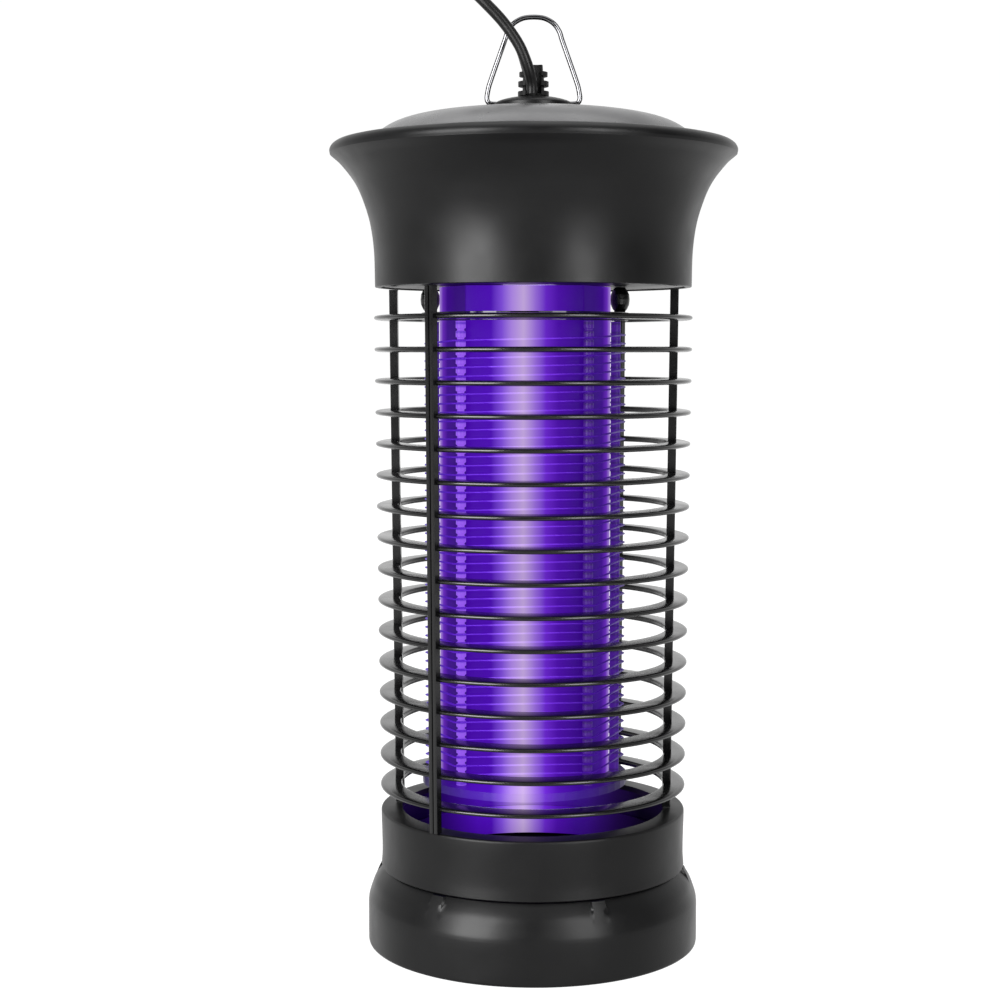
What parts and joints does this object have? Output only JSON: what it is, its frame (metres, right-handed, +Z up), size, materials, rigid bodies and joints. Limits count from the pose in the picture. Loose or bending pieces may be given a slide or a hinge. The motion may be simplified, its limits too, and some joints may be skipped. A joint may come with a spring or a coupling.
{
  "type": "electric bug zapper",
  "caption": "Electric insect killer with a flared cap, wire bail, ringed guard, violet lamp and high-voltage wire grid over a twist-off insect tray.",
  "frame": {"origin": "centre of the base's underside, where the guard's axis meets the surface it stands on, leaving out the free lead", "axes": "+Z up along the guard's axis, -Y towards the front, +X to the right as seen from the front"},
  "size_m": [0.1492, 0.2301, 0.3666],
  "materials": {
    "satin_black": "satin",
    "gloss_black": "gloss",
    "lid_grey": "satin",
    "black_rubber": "matte",
    "chrome_wire": "polished",
    "board_green": "satin",
    "transformer_core": "varnished",
    "can_blue": "gloss",
    "lamp_white": "satin",
    "pin_brass": "polished",
    "lamp_glass": "lit, glowing violet-white",
    "violet_shade": "translucent, lit violet from inside",
    "post_violet": "gloss",
    "grid_wire": "bright"
  },
  "bodies": {
    "housing": {"cap_shell": "satin_black", "cap_lid": "lid_grey", "hanger_boss": "satin_black", "strain_relief": "black_rubber", "cap_floor": "satin_black", "circuit_board": "board_green", "transformer": "transformer_core", "capacitor": "can_blue", "lamp_holder": "lamp_white", "grid_top_ring": "satin_black", "grid_bottom_ring": "satin_black", "grid_post_1": "post_violet", "grid_post_2": "post_violet", "grid_post_3": "post_violet", "grid_post_4": "post_violet", "grid_post_5": "post_violet", "grid_post_6": "post_violet", "grid_wire_live": "grid_wire", "grid_wire_neutral": "grid_wire", "grid_standoff_left": "gloss_black", "grid_standoff_right": "gloss_black", "lamp_shade": "violet_shade", "guard_ring_01": "gloss_black", "guard_ring_02": "gloss_black", "guard_ring_03": "gloss_black", "guard_ring_04": "gloss_black", "guard_ring_05": "gloss_black", "guard_ring_06": "gloss_black", "guard_ring_07": "gloss_black", "guard_ring_08": "gloss_black", "guard_ring_09": "gloss_black", "guard_ring_10": "gloss_black", "guard_ring_11": "gloss_black", "guard_ring_12": "gloss_black", "guard_ring_13": "gloss_black", "guard_ring_14": "gloss_black", "guard_ring_15": "gloss_black", "guard_ring_16": "gloss_black", "guard_seam_front": "gloss_black", "guard_seam_rear": "gloss_black", "guard_post_left": "gloss_black", "guard_post_right": "gloss_black", "base_collar": "satin_black", "power_cord": "black_rubber", "cord_coil": "black_rubber", "plug_body": "black_rubber", "plug_blade_left": "pin_brass", "plug_blade_right": "pin_brass"},
    "bail": {"hanger_bail": "chrome_wire"},
    "lamp": {"lamp_tube": "lamp_glass", "lamp_base": "lamp_white", "lamp_pin_left": "pin_brass", "lamp_pin_right": "pin_brass"},
    "tray_seal": {"tray_gasket": "black_rubber"},
    "tray": {"insect_tray": "satin_black"}
  },
  "joints": [
    {"name": "bail_swing", "type": "hinge", "parent": "housing", "child": "bail", "pos_m": [0, 0, 0.3106], "axis": [-1, 0, 0], "range_deg": [0, 88]},
    {"name": "lamp_pull", "type": "slide", "parent": "housing", "child": "lamp", "axis": [0, 0, -1], "range_m": [0, 0.016]},
    {"name": "tray_drop", "type": "slide", "parent": "housing", "child": "tray_seal", "axis": [0, 0, -1], "range_m": [0, 0.07]},
    {"name": "tray_twist", "type": "hinge", "parent": "tray_seal", "child": "tray", "pos_m": [0, 0, 0], "axis": [0, 0, 1], "range_deg": [0, 20]}
  ]
}
